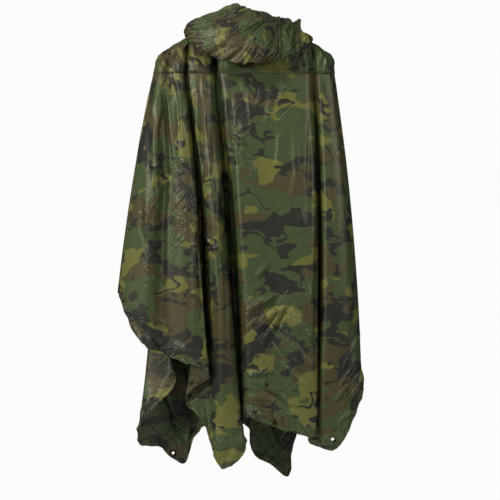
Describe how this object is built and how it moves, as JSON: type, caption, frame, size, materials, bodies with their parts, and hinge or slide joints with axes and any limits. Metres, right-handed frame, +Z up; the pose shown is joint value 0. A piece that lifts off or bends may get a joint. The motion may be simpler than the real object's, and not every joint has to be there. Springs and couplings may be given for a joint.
{
  "type": "rain poncho on a coat hanger",
  "caption": "Hooded rain poncho in coated camouflage nylon, hanging in deep folds on a plain wooden coat hanger.",
  "frame": {"origin": "inside top of the hanger's hook, where it rests on a rod", "axes": "+Z up, the way it hangs; the front faces -Y; +X to the right as seen from the front"},
  "size_m": [0.6714, 0.1819, 1.3006],
  "materials": {
    "coated_nylon": "ripstop nylon with a soft waterproof coating, printed in four-colour camouflage, semi-gloss",
    "hanger_wood": "clear satin lacquer on beech",
    "hook_steel": "bright drawn wire",
    "snap_metal": "black enamelled brass",
    "grommet_metal": "dulled antique brass",
    "eyelet_metal": "blackened brass, rubbed at the rim",
    "drawcord": "braided nylon cord, matt"
  },
  "bodies": {
    "root": {"front_panel_upper": "coated_nylon", "front_panel_lower": "coated_nylon", "back_panel_upper": "coated_nylon", "back_panel_lower": "coated_nylon", "centre_panel": "coated_nylon", "hood_near_half": "coated_nylon", "hood_far_half": "coated_nylon", "hanger_bar": "hanger_wood", "hanger_hook": "hook_steel", "hood_eyelet": "eyelet_metal", "drawcord_left": "drawcord", "drawcord_right": "drawcord", "cord_knot_left": "drawcord", "cord_knot_right": "drawcord", "grommet_front_corner": "grommet_metal", "grommet_front_hem": "grommet_metal", "grommet_back_corner": "grommet_metal", "snap_1": "snap_metal", "snap_2": "snap_metal", "snap_3": "snap_metal", "snap_4": "snap_metal", "snap_5": "snap_metal", "snap_6": "snap_metal", "snap_7": "snap_metal"}
  },
  "joints": []
}
